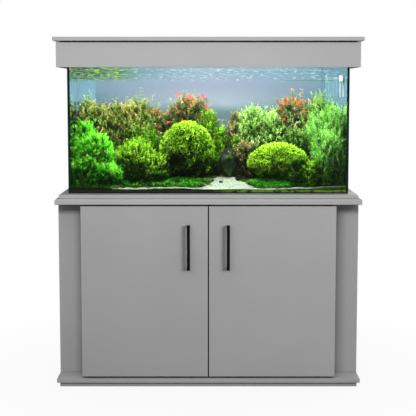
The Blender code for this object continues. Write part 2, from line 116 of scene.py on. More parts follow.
class Look:
    """A new material and short calls for the nodes in it."""

    def __init__(self, name):
        self.material = bpy.data.materials.new(name)
        self.material.use_nodes = True
        self.tree = self.material.node_tree
        self.tree.nodes.clear()
        self.out = self.tree.nodes.new("ShaderNodeOutputMaterial")
        self.places = None

    def node(self, kind, settings=None, inputs=None):
        made = self.tree.nodes.new("ShaderNode" + kind)
        for key, value in (settings or {}).items():
            setattr(made, key, value)
        for key, value in (inputs or {}).items():
            if isinstance(value, bpy.types.NodeSocket):
                self.tree.links.new(value, made.inputs[key])
            else:
                made.inputs[key].default_value = value
        return made

    def place(self):
        """The point on the surface, in metres."""
        if self.places is None:
            self.places = self.node("TexCoord").outputs["Object"]
        return self.places

    def stretched(self, scale):
        return self.node("Mapping", None, {"Vector": self.place(), "Scale": scale}).outputs[0]

    def noise(self, scale, detail=3.0, roughness=0.5, vector=None):
        inputs = {"Vector": vector or self.place(), "Scale": scale, "Detail": detail}
        inputs["Roughness"] = roughness
        return self.node("TexNoise", None, inputs).outputs["Fac"]

    def ramp(self, factor, stops):
        """stops is [(position, colour), ...]."""
        made = self.node("ValToRGB", None, {"Fac": factor})
        elements = made.color_ramp.elements
        while len(elements) < len(stops):
            elements.new(0.5)
        for element, (position, colour) in zip(elements, stops):
            element.position = position
            element.color = rgba(colour)
        return made.outputs["Color"]

    def two_tone(self, factor, first, second, low=0.3, high=0.7):
        return self.ramp(factor, [(low, first), (high, second)])

    def map(self, value, low, high, to_low, to_high):
        inputs = {0: value, 1: low, 2: high, 3: to_low, 4: to_high}
        return self.node("MapRange", None, inputs).outputs[0]

    def maths(self, operation, a, b=0.0):
        return self.node("Math", {"operation": operation}, {0: a, 1: b}).outputs[0]

    def times(self, a, b):
        return self.maths("MULTIPLY", a, b)

    def mix(self, factor, a, b, blend="MIX"):
        settings = {"data_type": "RGBA", "blend_type": blend}
        return self.node("Mix", settings, {0: factor, 6: rgba(a), 7: rgba(b)}).outputs[2]

    def attribute(self, name):
        return self.node("Attribute", {"attribute_name": name}).outputs["Fac"]

    def bump(self, height, distance, strength=1.0):
        inputs = {"Height": height, "Distance": distance, "Strength": strength}
        return self.node("Bump", None, inputs).outputs[0]

    def axis(self, name):
        return self.node("SeparateXYZ", None, {0: self.place()}).outputs[name]

    def surface(self, **inputs):
        """A Principled shader. Names come without spaces, as in BaseColor."""
        names = {
            "BaseColor": "Base Color",
            "Transmission": "Transmission Weight",
            "EmissionColor": "Emission Color",
            "EmissionStrength": "Emission Strength",
        }
        given = {names.get(key, key): rgba(value) for key, value in inputs.items()}
        return self.node("BsdfPrincipled", None, given).outputs[0]

    def blend(self, factor, first, second):
        """The first shader where the factor is 0, the second where it is 1."""
        return self.node("MixShader", None, {0: factor, 1: first, 2: second}).outputs[0]

    def finish(self, shader):
        self.tree.links.new(shader, self.out.inputs["Surface"])
        return self.material

    def coat(self, **inputs):
        """The finished material, when one Principled shader is all it has."""
        return self.finish(self.surface(**inputs))


def rgba(value):
    """A colour of three numbers as four; anything else as it is."""
    return (*value, 1.0) if isinstance(value, tuple) and len(value) == 3 else value


def srgb(red, green, blue):
    """A colour given in display values from 0 to 255, as the linear values that shaders use."""
    scaled = (red / 255, green / 255, blue / 255)
    return tuple(v / 12.92 if v <= 0.04045 else ((v + 0.055) / 1.055) ** 2.4 for v in scaled)


# ---------------------------------------------------------------- materials of the stand and hood


def painted_board(name="painted_board", axis=None, below=0.0):
    """Satin paint on smooth board: slow changes of tone, a fine roller texture, duller patches.

    With an axis, the board is painted near black where its place along that axis is below the limit, as
    painted shade.
    """
    look = Look(name)
    colour = look.two_tone(look.noise(2.5, 4.0), srgb(172, 172, 172), srgb(178, 178, 178))
    if axis:
        # Painted shade: the near-black band below the limit stands in for the shadow in a gap or recess.
        in_painted_shade = look.maths("LESS_THAN", look.axis(axis), below)
        colour = look.mix(in_painted_shade, colour, srgb(22, 22, 23))
    height = look.maths("ADD", look.noise(520.0, 2.0), look.times(look.noise(38.0, 2.0), 1.6))
    rough = look.map(look.noise(11.0, 3.0), 0.35, 0.65, 0.40, 0.52)
    return look.coat(BaseColor=colour, Roughness=rough, Normal=look.bump(height, 0.00012, 0.5))


def powder_black():
    look = Look("handle_black")
    grain = look.noise(1400.0, 1.0)
    tone = look.two_tone(look.noise(60.0, 2.0), (0.003, 0.003, 0.0035), (0.006, 0.006, 0.0065))
    rough = look.map(grain, 0.3, 0.7, 0.50, 0.62)
    return look.coat(BaseColor=tone, Roughness=rough, IOR=1.35, Normal=look.bump(grain, 0.00008, 0.4))


def plated_steel():
    look = Look("hinge_steel")
    streak = look.noise(90.0, 3.0, vector=look.stretched((1.0, 1.0, 14.0)))
    tone = look.two_tone(streak, (0.47, 0.47, 0.49), (0.60, 0.60, 0.61), 0.35, 0.65)
    rough = look.map(streak, 0.3, 0.7, 0.22, 0.36)
    return look.coat(BaseColor=tone, Roughness=rough, Metallic=1.0)


def foam():
    look = Look("foam_mat")
    cells = look.node("TexVoronoi", None, {"Vector": look.place(), "Scale": 900.0}).outputs["Distance"]
    tone = look.two_tone(cells, (0.004, 0.004, 0.004), (0.020, 0.020, 0.020), 0.0, 0.8)
    return look.coat(BaseColor=tone, Roughness=0.9, Normal=look.bump(cells, 0.0004, 0.5))


def lamp_metal():
    look = Look("light_housing")
    brushed = look.noise(60.0, 3.0, vector=look.stretched((0.4, 20.0, 20.0)))
    tone = look.two_tone(brushed, (0.52, 0.53, 0.54), (0.64, 0.65, 0.66))
    rough = look.map(brushed, 0.3, 0.7, 0.28, 0.42)
    return look.coat(BaseColor=tone, Roughness=rough, Metallic=0.9)


# ---------------------------------------------------------------- materials of the tank


def see_through(look, clear, tint):
    """The clear shader, but lamps' light passes straight through it, only tinted."""
    lamp_ray = look.node("LightPath").outputs["Is Shadow Ray"]
    open_way = look.node("BsdfTransparent", None, {"Color": rgba(tint)}).outputs[0]
    return look.blend(lamp_ray, clear, open_way)


def pane_glass(axis, grown=False):
    """Clear glass on the pane's two broad faces, whose normals lie along axis, and dark green edges.

    A grown pane has brown soil dust on its edges, and green growth on the right half of them.
    """
    look = Look(f"pane_glass_{axis}_grown" if grown else f"pane_glass_{axis}")
    clear = look.surface(BaseColor=(0.985, 1.0, 0.992), Roughness=0.0, IOR=1.50, Transmission=1.0)
    broad = see_through(look, clear, (0.955, 0.985, 0.975))
    tone = look.two_tone(look.noise(14.0, 2.0), (0.0020, 0.016, 0.014), (0.004, 0.040, 0.030))
    if grown:
        tone = look.mix(0.75, tone, (0.030, 0.030, 0.008))
        growth = look.map(look.noise(52.0, 5.0, 0.6), 0.42, 0.54, 0.0, 1.0)
        growth = look.times(growth, look.map(look.axis("X"), 0.0, 0.14, 0.0, 1.0))
        tone = look.mix(growth, tone, (0.15, 0.27, 0.03))
    edge = look.surface(BaseColor=tone, Roughness=0.12, IOR=1.50)
    normal = look.node("TexCoord").outputs["Normal"]
    part = look.node("SeparateXYZ", None, {0: normal}).outputs[axis.upper()]
    is_broad = look.maths("GREATER_THAN", look.maths("ABSOLUTE", part), 0.8)
    return look.finish(look.blend(is_broad, edge, broad))


def water_look():
    look = Look("water")
    clear = look.surface(BaseColor=(0.94, 0.985, 1.0), Roughness=0.0, IOR=1.333, Transmission=1.0)
    return look.finish(see_through(look, clear, (0.93, 0.985, 0.99)))


def film_look():
    """Blue-grey film behind the tank: darker at the sides and light in the middle, with lighter corners.

    The lighter corners are a painted highlight. The tone is partly painted light, lighter near the top
    where the tank lamp reaches the film only at a grazing angle. Near the top it has a rippled band, a
    painted reflection of the water's surface, with weed at its left and a thin dark line at its right.
    The film's back is plain and dark.
    """
    look = Look("background_film")
    x, z = look.axis("X"), look.axis("Z")
    from_middle = look.maths("ABSOLUTE", x)
    # Partly painted light: the tone is made lighter near the top, which the tank lamp lights only at a
    # grazing angle.
    height = look.map(z, 1.19, 1.375, 0.0, 1.0)
    middle = look.ramp(
        height,
        [
            (0.0, (0.032, 0.041, 0.045)),
            (0.2, (0.083, 0.078, 0.088)),
            (0.6, (0.071, 0.062, 0.082)),
            (1.0, (0.088, 0.080, 0.098)),
        ],
    )
    outer = look.ramp(
        height,
        [
            (0.0, (0.017, 0.026, 0.031)),
            (0.3, (0.030, 0.041, 0.052)),
            (0.6, (0.047, 0.056, 0.073)),
            (1.0, (0.056, 0.074, 0.094)),
        ],
    )
    colour = look.mix(look.map(from_middle, 0.08, 0.54, 0.0, 1.0), middle, outer)
    # Painted highlight: the film is lighter cyan towards its ends, for the light seen at the tank's back
    # corners.
    corner_highlight = look.map(from_middle, 0.518, 0.526, 0.0, 0.85)
    colour = look.mix(corner_highlight, colour, (0.060, 0.088, 0.110))
    # Painted reflection: the rippled light and dark band near the top stands in for the water's surface
    # seen from below.
    surface_reflection_band = look.map(z, 1.325, 1.345, 0.0, 1.0)
    wave = look.noise(34.0, 6.0, 0.66, look.stretched((1.0, 1.0, 6.0)))
    dark = look.times(look.map(wave, 0.46, 0.58, 0.0, 0.75), surface_reflection_band)
    colour = look.mix(dark, colour, (0.040, 0.062, 0.078))
    light = look.times(look.map(wave, 0.45, 0.34, 0.0, 0.70), surface_reflection_band)
    colour = look.mix(light, colour, (0.34, 0.38, 0.42))
    top_left = look.times(look.map(x, -0.05, -0.45, 0.0, 0.50), surface_reflection_band)
    colour = look.mix(top_left, colour, (0.018, 0.036, 0.030))
    weed = look.map(look.noise(30.0, 4.0, 0.6, look.stretched((1.0, 1.0, 3.2))), 0.45, 0.49, 0.0, 0.95)
    weed = look.times(weed, look.times(look.map(x, -0.30, -0.42, 0.0, 1.0), surface_reflection_band))
    weed_colour = look.two_tone(wave, (0.12, 0.15, 0.015), (0.006, 0.014, 0.006), 0.44, 0.50)
    colour = look.mix(weed, colour, weed_colour)
    from_line = look.maths("ABSOLUTE", look.maths("SUBTRACT", z, 1.333))
    line = look.times(look.map(from_line, 0.0022, 0.0035, 0.8, 0.0), look.map(x, 0.34, 0.37, 0.0, 1.0))
    colour = look.mix(line, colour, (0.02, 0.05, 0.02))
    back = look.two_tone(look.noise(3.0, 3.0), (0.010, 0.014, 0.020), (0.016, 0.021, 0.030))
    film_low, film_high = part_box("background_film")
    is_back = look.maths("GREATER_THAN", look.axis("Y"), (film_low.y + film_high.y) / 2)
    return look.coat(BaseColor=look.mix(is_back, colour, back), Roughness=0.55)


def clear_tube():
    look = Look("clear_pipe")
    clear = look.surface(BaseColor=(0.93, 0.98, 0.97), Roughness=0.03, IOR=1.45, Transmission=1.0)
    return look.finish(see_through(look, clear, (0.85, 0.92, 0.92)))


def white_plastic():
    look = Look("white_plastic")
    tone = look.two_tone(look.noise(40.0, 2.0), (0.42, 0.44, 0.45), (0.50, 0.52, 0.53))
    return look.coat(BaseColor=tone, Roughness=0.3)


# ---------------------------------------------------------------- ground and stone


def sand_share(x, y):
    """1 on the pale sand path and on the thin line of sand near the front glass, 0 on the dark soil."""
    depth = y - WATER_FRONT
    along = depth / 0.21
    middle = 0.095 - 0.030 * along
    half = 0.125 * max(0.0, 1.0 - along) ** 1.2 + 0.020
    path = max(0.0, min(1.0, (half - abs(x - middle)) / 0.02)) if 0.04 < along < 1.0 else 0.0
    reach = 0.014 + 0.007 * math.sin(x * 5.0 + 1.2) + 0.004 * math.sin(x * 17.0)
    strip = max(0.0, min(1.0, (reach - depth) / 0.004)) if x > SAND_LEFT_END else 0.0
    return max(path, strip)


def ground_z(x, y):
    """Height of the visible ground: the model's slope with small drifts and dips."""
    share = max(0.0, (y - GROUND_BREAK_Y) / (WATER_BACK - GROUND_BREAK_Y))
    slope = GROUND_FRONT_Z + share * (GROUND_BACK_Z - GROUND_FRONT_Z)
    near_glass = max(0.0, 1.0 - (y - WATER_FRONT) / 0.07)
    rise = max(0.0, min(1.0, (x - 0.25) / 0.35))
    slope += near_glass * (0.012 * rise**2 - 0.005 - 0.003 * math.exp(-(((x - 0.2) / 0.2) ** 2)))
    drift = 0.004 * noise.noise(Vector((x * 7.0, y * 7.0, 0.3)))
    grain = 0.0012 * noise.noise(Vector((x * 60.0, y * 60.0, 1.7)))
    return slope + drift + grain - 0.004 * sand_share(x, y)


def ground_look():
    """Pale sand with darker grains where the sand attribute says so, and dark crumbly soil elsewhere.

    The ground's face against the front glass has green growth on its right half.
    """
    look = Look("ground")
    cells = look.node("TexVoronoi", None, {"Vector": look.place(), "Scale": 420.0})
    grain = look.node("SeparateColor", None, {0: cells.outputs["Color"]}).outputs[0]
    sand = look.ramp(grain, [(0.0, srgb(34, 42, 26)), (0.35, srgb(78, 84, 66)), (1.0, srgb(120, 122, 112))])
    soil = look.ramp(grain, [(0.0, srgb(6, 6, 2)), (0.7, srgb(24, 21, 8)), (1.0, srgb(48, 50, 20))])
    growth = look.map(look.axis("Y"), WATER_FRONT + 0.001, WATER_FRONT + 0.002, 1.0, 0.0)
    growth = look.times(growth, look.map(look.axis("X"), 0.02, 0.16, 0.0, 1.0))
    growth = look.times(growth, look.map(look.noise(60.0, 4.0), 0.40, 0.55, 0.0, 1.0))
    soil = look.mix(growth, soil, srgb(74, 98, 22))
    patch = look.map(look.noise(30.0, 4.0), 0.35, 0.65, -0.52, 0.45)
    share = look.maths("ADD", look.attribute("sand"), patch)
    colour = look.mix(look.map(share, 0.40, 0.60, 0.0, 1.0), soil, sand)
    height = look.maths("ADD", cells.outputs["Distance"], look.noise(160.0, 3.0))
    return look.coat(BaseColor=colour, Roughness=0.85, Normal=look.bump(height, 0.0012, 0.8))


def stone_look():
    look = Look("dark_stone")
    crack = look.noise(46.0, 6.0, 0.62)
    tone = look.ramp(crack, [(0.32, srgb(3, 4, 3)), (0.55, srgb(12, 16, 13)), (0.78, srgb(40, 48, 42))])
    algae = look.map(look.noise(20.0, 3.0), 0.50, 0.68, 0.0, 0.8)
    colour = look.mix(algae, tone, srgb(46, 66, 22))
    return look.coat(BaseColor=colour, Roughness=0.75, Normal=look.bump(crack, 0.004, 0.9))


def core_look():
    # Painted shade: near-black green for the shaded inside of bushes and moss cushions.
    look = Look("shaded_plant_core")
    lumps = look.noise(120.0, 4.0)
    tone = look.two_tone(lumps, srgb(4, 10, 2), srgb(24, 40, 8))
    return look.coat(BaseColor=tone, Roughness=0.9, Normal=look.bump(lumps, 0.003, 0.8))


# ---------------------------------------------------------------- numpy meshes


def array_mesh(name, points, triangles, values):
    """A mesh from arrays of points and triangles, with one number for each point in each of values."""
    mesh = bpy.data.meshes.new(name)
    mesh.vertices.add(len(points))
    mesh.vertices.foreach_set("co", np.ascontiguousarray(points, np.float32).ravel())
    mesh.loops.add(3 * len(triangles))
    mesh.loops.foreach_set("vertex_index", np.ascontiguousarray(triangles, np.int32).ravel())
    mesh.polygons.add(len(triangles))
    mesh.polygons.foreach_set("loop_start", np.arange(0, 3 * len(triangles), 3, dtype=np.int32))
    mesh.update(calc_edges=True)
    for key, value in values.items():
        layer = mesh.attributes.new(key, "FLOAT", "POINT")
        layer.data.foreach_set("value", np.ascontiguousarray(value, np.float32))
    return mesh


PLANTED = set()


def add_piece(name, mesh, material, body, replaced=()):
    """Puts a mesh in the scene as a piece that rides on a body."""
    if body == "cabinet":
        PLANTED.add(name)
    piece = bpy.data.objects.new(name, mesh)
    bpy.context.scene.collection.objects.link(piece)
    mesh.materials.append(material)
    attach(piece, body)
    if replaced:
        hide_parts(*replaced)


def add_built(name, made, material, body, replaced=(), smooth=False, sharp_degrees=None):
    """Turns a finished bmesh into a piece."""
    mesh = bpy.data.meshes.new(name)
    made.to_mesh(mesh)
    made.free()
    if smooth:
        mesh.shade_smooth()
    if sharp_degrees:
        mesh.set_sharp_from_angle(angle=math.radians(sharp_degrees))
    add_piece(name, mesh, material, body, replaced)


def unit(vectors):
    return vectors / np.maximum(np.linalg.norm(vectors, axis=-1, keepdims=True), 1e-9)


# A leaf's outline in its own axes: across, along, and lifted off its plane
BLADE = np.array([(0.0, 0.0, 0.0), (-0.5, 0.42, 0.10), (0.5, 0.42, 0.10), (0.0, 1.0, -0.12)])
BLADE_FACES = np.array([(0, 2, 1), (1, 2, 3)])
LEAF = np.array(
    [
        (0.0, 0.0, 0.0),
        (-0.40, 0.30, 0.12),
        (0.0, 0.32, 0.02),
        (0.40, 0.30, 0.12),
        (-0.36, 0.68, 0.06),
        (0.0, 0.70, -0.04),
        (0.36, 0.68, 0.06),
        (0.0, 1.0, -0.20),
    ]
)
LEAF_FACES = np.array(
    [(0, 2, 1), (0, 3, 2), (1, 2, 5), (1, 5, 4), (2, 3, 6), (2, 6, 5), (4, 5, 7), (5, 6, 7)]
)


class Greenery:
    """Collects leaves and stems, then makes one mesh of them all."""

    def __init__(self, seed):
        self.random = np.random.default_rng(seed)
        self.points, self.faces, self.tint, self.shade = [], [], [], []
        self.count = 0

    def add(self, points, faces, tint, shade):
        """points is (n, k, 3) for n copies of a shape of k points, and faces its triangles."""
        copies, size = points.shape[:2]
        starts = self.count + size * np.arange(copies)
        self.points.append(points.reshape(-1, 3))
        self.faces.append((faces[None] + starts[:, None, None]).reshape(-1, 3))
        self.tint.append(np.broadcast_to(tint[:, None], (copies, size)).ravel())
        self.shade.append(np.broadcast_to(shade, (copies, size)).ravel())
        self.count += copies * size

    def leaves(self, root, along, length, width, tint, shade, shape=BLADE, faces=BLADE_FACES):
        """A leaf at each root, pointing along, with its flat side turned up as far as it goes."""
        along = unit(along)
        side = np.cross(along, np.array((0.0, 0.0, 1.0)) + self.random.normal(0, 0.35, along.shape))
        side = unit(side)
        up = np.cross(side, along)
        across = shape[None, :, 0, None] * width[:, None, None] * side[:, None]
        forward = shape[None, :, 1, None] * length[:, None, None] * along[:, None]
        lifted = shape[None, :, 2, None] * length[:, None, None] * up[:, None]
        # Painted shade: each leaf is darker at its base than at its tip.
        deep = shade[:, None] * (0.55 + 0.45 * shape[None, :, 1])
        self.add(root[:, None] + across + forward + lifted, faces, tint, deep)

    def stems(self, paths, radius, tint, shade):
        """A three-sided stalk along each path; paths is (n, steps, 3)."""
        copies, steps = paths.shape[:2]
        angles = 2 * np.pi * np.arange(3) / 3
        ring = np.stack([np.cos(angles), np.sin(angles), np.zeros(3)], -1) * radius
        points = (paths[:, :, None] + ring[None, None]).reshape(copies, steps * 3, 3)
        faces = []
        for step in range(steps - 1):
            for i in range(3):
                a, b = 3 * step + i, 3 * step + (i + 1) % 3
                faces += [(a, b, b + 3), (a, b + 3, a + 3)]
        self.add(points, np.array(faces), tint, np.repeat(shade, 3, axis=1))

    def finish(self, name, material, slot, replaced=()):
        points = np.clip(np.concatenate(self.points), PLANT_LOW, PLANT_HIGH)
        values = {"tint": np.concatenate(self.tint), "shade": np.concatenate(self.shade)}
        mesh = array_mesh(name, points, np.concatenate(self.faces), values)
        add_piece(name, mesh, material, "cabinet", replaced)


def leaf_look(name, deep, middle, light, other, other_share=0.2, rough=0.5):
    """Leaves coloured by their shade value, from painted shade deep inside the plant to painted light at
    the tips, some of them in another colour.

    The four colours are display values from 0 to 255.
    """
    look = Look(name)
    shade, tint = look.attribute("shade"), look.attribute("tint")
    # Painted light and shade: dark where the shade attribute is low, deep in a plant, and light where it is
    # high, at lit tips.
    main = look.ramp(shade, [(0.22, srgb(*deep)), (0.52, srgb(*middle)), (0.85, srgb(*light))])
    is_other = look.map(tint, 1.0 - other_share, 1.02 - other_share, 0.0, 1.0)
    is_other = look.times(is_other, look.map(shade, 0.35, 0.60, 0.0, 1.0))
    colour = look.mix(is_other, main, srgb(*other))
    blotch = look.map(look.noise(240.0, 2.0), 0.3, 0.7, 0.78, 1.22)
    grey = look.node("CombineColor", None, {0: blotch, 1: blotch, 2: blotch}).outputs[0]
    colour = look.mix(1.0, colour, grey, "MULTIPLY")
    front = look.surface(BaseColor=colour, Roughness=rough)
    behind = look.node("BsdfTranslucent", None, {"Color": colour}).outputs[0]
    return look.finish(look.blend(0.28, front, behind))


# ---------------------------------------------------------------- kinds of plant

LUMP = 0.18
RING_TURN = 0.382
TIP_LEAVES = 6
CARPET_SIDE_GAP = 0.006


def lump_at(point, scale, seed):
    """Smooth noise from about -1 to 1 at a point."""
    return noise.noise(point * scale + Vector((seed * 1.37, seed * 0.71, seed * 2.3)))


def lumps_at(points, scale, seed):
    return np.array([lump_at(Vector(p), scale, seed) for p in points])


def dome(centre, radii, top):
    """Middle and radii of the ellipsoid whose upper part stands on the ground as a bush."""
    ground = ground_z(*centre)
    height = top - ground
    return (*centre, ground + 0.36 * height), (*radii, 0.64 * height)


def ball_normals(random, low, count):
    """Directions spread over a unit ball, from height low upwards."""
    z = random.uniform(low, 1.0, count)
    turn = random.uniform(0, 2 * np.pi, count)
    flat = np.sqrt(1 - z**2)
    return np.stack([flat * np.cos(turn), flat * np.sin(turn), z], -1)


def dome_points(random, centre, radii, top, count, seed):
    """Points and outward directions on a lumpy dome, and how high its lumps are."""
    middle, size = (np.array(values) for values in dome(centre, radii, top))
    normal = ball_normals(random, -0.75, count)
    smooth = middle + normal * size
    bulge = 0.65 * lumps_at(smooth, 17.0, seed) + 0.45 * lumps_at(smooth, 42.0, seed + 3)
    points = middle + normal * size * (0.92 + LUMP * bulge)[:, None]
    return points, unit(normal / size), bulge


def curve(foot, head, bend, t):
    """Points at the shares t of each stalk from foot to head, bent aside in between."""
    arch = (4 * t * (1 - t))[None, :, None]
    return foot[:, None] + (head - foot)[:, None] * t[None, :, None] + bend[:, None] * arch


def ring_spin(turn, k, spec):
    """Angle of the k-th leaf of every ring: the rings on a stalk are turned against each other."""
    rings = RING_TURN * np.arange(spec["rings"])[None]
    return turn[:, None] + 2 * np.pi * (k / spec["per_ring"] + rings)


def ring_leaves(green, spec, places, along, length, tint, shade):
    """One leaf of every ring. places and along are (stalks, rings, 3), length and shade (stalks, rings)."""
    shape, faces = (LEAF, LEAF_FACES) if spec.get("broad") else (BLADE, BLADE_FACES)
    green.leaves(
        places.reshape(-1, 3),
        along.reshape(-1, 3),
        length.ravel(),
        (spec["width"] * length / spec["leaf"]).ravel(),
        np.repeat(tint, spec["rings"]),
        np.clip(shade, 0, 1).ravel(),
        shape,
        faces,
    )


def bush(green, centre, radii, top, spec, seed):
    """Sprigs all over a lumpy dome, each with rings of leaves; the leaves are painted lighter towards its
    tip.

    spec has: sprigs, length, rise, rings, per_ring, leaf, width, angle; and may have light, wild, reach.
    """
    random = green.random
    tips, outward, bulge = dome_points(random, centre, radii, top, spec["sprigs"], seed)
    count = len(tips)
    stray = random.normal(0, spec.get("wild", 0.22), outward.shape)
    grow = unit(outward + np.array((0, 0, spec["rise"])) + stray)
    length = (spec["length"] * random.uniform(0.7, 1.3, count))[:, None]
    past_dome = 0.15 + spec.get("reach", 0.6) * random.uniform(0, 1, count) ** 4
    tips = tips + grow * length * past_dome[:, None]
    roots = tips - grow * length
    bend = random.normal(0, 0.10, (count, 3)) * length
    tint = random.uniform(0, 1, count)
    # Painted light: sprigs on the dome's top and bulges get lighter leaves, those low on its sides darker.
    light = np.clip(0.52 + 0.30 * outward[:, 2] + 0.42 * bulge, 0.12, 1.0)
    light = light * random.uniform(0.45, 1.3, count) * spec.get("light", 1.0)
    t = np.linspace(0, 1, 4)
    stalk_shade = light[:, None] * (0.2 + 0.4 * t)[None]
    green.stems(curve(roots, tips, bend, t), 0.0006, tint * 0.7, stalk_shade)
    t = np.linspace(0.25, 1.0, spec["rings"])
    places = curve(roots, tips, bend, t)
    turn = random.uniform(0, 2 * np.pi, count)
    side = unit(np.cross(grow, random.normal(0, 1, grow.shape)))
    other = np.cross(grow, side)
    angle = np.radians(spec["angle"] * (1.15 - 0.60 * t**3))[None, :, None]
    for k in range(spec["per_ring"]):
        spin = ring_spin(turn, k, spec)
        spin = spin + random.normal(0, 0.3, spin.shape)
        out = np.cos(spin)[..., None] * side[:, None] + np.sin(spin)[..., None] * other[:, None]
        along = np.cos(angle) * grow[:, None] + np.sin(angle) * out + random.normal(0, 0.12, out.shape)
        size = spec["leaf"] * random.uniform(0.7, 1.25, spin.shape) * (1.1 - 0.45 * t[None] ** 2)
        # Painted shade: leaves near a sprig's root, deep in the bush, are darker than those at its tip.
        depth = light[:, None] * (0.30 + 0.70 * t[None] ** 1.3) * random.uniform(0.60, 1.40, spin.shape)
        ring_leaves(green, spec, places, along, size, tint, depth)
    return tips, grow, tint, outward


def stem_bush(green, centre, radii, top, spec):
    """Upright stems on an oval of ground, with rings of leaves all the way up.

    spec has: stems, start, rings, per_ring, leaf, width, angle; and may have light, spread, broad.
    """
    random = green.random
    count = spec["stems"]
    turn = random.uniform(0, 2 * np.pi, count)
    share = np.sqrt(random.uniform(0, 1, count)) * 0.98
    foot_x = centre[0] + radii[0] * share * np.cos(turn)
    foot_y = centre[1] + radii[1] * share * np.sin(turn)
    foot_z = np.array([ground_z(x, y) for x, y in zip(foot_x, foot_y)])
    roundness = 2.2
    lift = 0.30 + 0.70 * (1.0 - share**roundness) ** (1.0 / roundness)
    head_z = foot_z + (top - foot_z) * lift * random.uniform(0.80, 1.0, count)
    spread = spec.get("spread", 0.10) * (head_z - foot_z)
    head_x = foot_x + spread * (share * np.cos(turn) + random.normal(0, 0.5, count))
    head_y = foot_y + spread * (share * np.sin(turn) + random.normal(0, 0.5, count))
    foot, head = np.stack([foot_x, foot_y, foot_z], -1), np.stack([head_x, head_y, head_z], -1)
    bend = random.normal(0, 0.014, (count, 3)) * (1, 1, 0)
    t = np.linspace(0, 1, 6)
    tint = random.uniform(0, 1, count)
    stalk_shade = np.tile(0.30 + 0.20 * t, (count, 1))
    green.stems(curve(foot, head, bend, t), 0.0007, tint * 0.7, stalk_shade)
    rings = spec["rings"]
    t = np.linspace(spec["start"], 1.0, rings)
    places = curve(foot, head, bend, t)
    direction = unit(head - foot)[:, None]
    size = (0.55 + 0.45 * np.sin(np.pi * np.linspace(0.25, 0.92, rings)))[None]
    angle = np.radians(spec["angle"] * (1.15 - 0.55 * np.linspace(0, 1, rings) ** 3))[None, :, None]
    for k in range(spec["per_ring"]):
        spin = ring_spin(turn, k, spec)
        spin = spin + random.normal(0, 0.25, spin.shape)
        out = np.stack([np.cos(spin), np.sin(spin), np.zeros_like(spin)], -1)
        along = np.cos(angle) * direction + np.sin(angle) * out + random.normal(0, 0.16, out.shape)
        length = spec["leaf"] * size * random.uniform(0.75, 1.25, spin.shape)
        # Painted shade: leaves low on a stem, and on the short stems at the clump's edge, are darker; those
        # at the top are lighter as painted light.
        depth = 0.15 + 0.75 * t[None] ** 1.3 * (0.55 + 0.45 * lift[:, None])
        depth = depth * random.uniform(0.6, 1.35, spin.shape) * spec.get("light", 1.0)
        ring_leaves(green, spec, places, along, length, tint, depth)


def coloured_tips(green, tips, grow, leaf, width):
    """A loose star of larger leaves in the plant's second colour at each of the tips."""
    random = green.random
    count = len(tips)
    side = unit(np.cross(grow, random.normal(0, 1, grow.shape)))
    other = np.cross(grow, side)
    second_colour = np.full(count, 2.0)
    for k in range(TIP_LEAVES):
        spin = (2 * np.pi * k * RING_TURN + random.uniform(0, 1, count))[:, None]
        tilt = np.radians(random.uniform(4, 30, count))[:, None]
        along = np.cos(tilt) * grow + np.sin(tilt) * (np.cos(spin) * side + np.sin(spin) * other)
        root = tips - grow * random.uniform(0.0, 0.012, (count, 1))
        size = leaf * random.uniform(0.6, 1.2, count)
        shade = random.uniform(0.62, 1.0, count)
        green.leaves(root, along, size, width * size / leaf, second_colour, shade, LEAF, LEAF_FACES)


def carpet(green, tufts, front, back, spec):
    """Short tufts on the soil between two depths, thick in patches and none on the sand."""
    random = green.random
    x = random.uniform(-WATER_SIDE + CARPET_SIDE_GAP, WATER_SIDE - CARPET_SIDE_GAP, tufts)
    y = WATER_FRONT + random.uniform(front, back, tufts)
    patch = lumps_at(np.stack([x, y, 0 * x], -1), 22.0, 5)
    on_soil = np.array([sand_share(a, b) < 0.5 for a, b in zip(x, y)])
    keep = on_soil & (patch + random.uniform(0, 1, tufts) > spec["bare"])
    x, y, patch = x[keep], y[keep], patch[keep]
    count = len(x)
    root = np.stack([x, y, np.array([ground_z(a, b) for a, b in zip(x, y)]) - 0.001], -1)
    height = spec["height"] * (0.6 + 0.8 * np.clip(patch + 0.3, 0, 1)) * random.uniform(0.5, 1.3, count)
    tint = random.uniform(0, 1, count)
    for _ in range(spec["leaves"]):
        up = random.uniform(0.1, 1.0, count)
        start = root + np.stack([0 * x, 0 * x, height * up], -1) + random.normal(0, 0.0015, root.shape)
        along = random.normal(0, 0.8, root.shape) + np.array((0, 0, 0.9))
        size = spec["leaf"] * random.uniform(0.6, 1.3, count)
        # Painted shade: leaves low in a tuft are darker than those at its top.
        shade = np.clip(spec["light"] * (0.25 + 0.75 * up) * random.uniform(0.5, 1.3, count), 0, 1)
        green.leaves(start, along, size, spec["width"] * size / spec["leaf"], tint, shade)
    t = np.linspace(0, 1, 3)
    paths = root[:, None] + np.array((0, 0, 1.0)) * (height[:, None] * t[None])[..., None]
    green.stems(paths, 0.0005, tint * 0.6, np.tile(0.2 + 0.2 * t, (count, 1)))


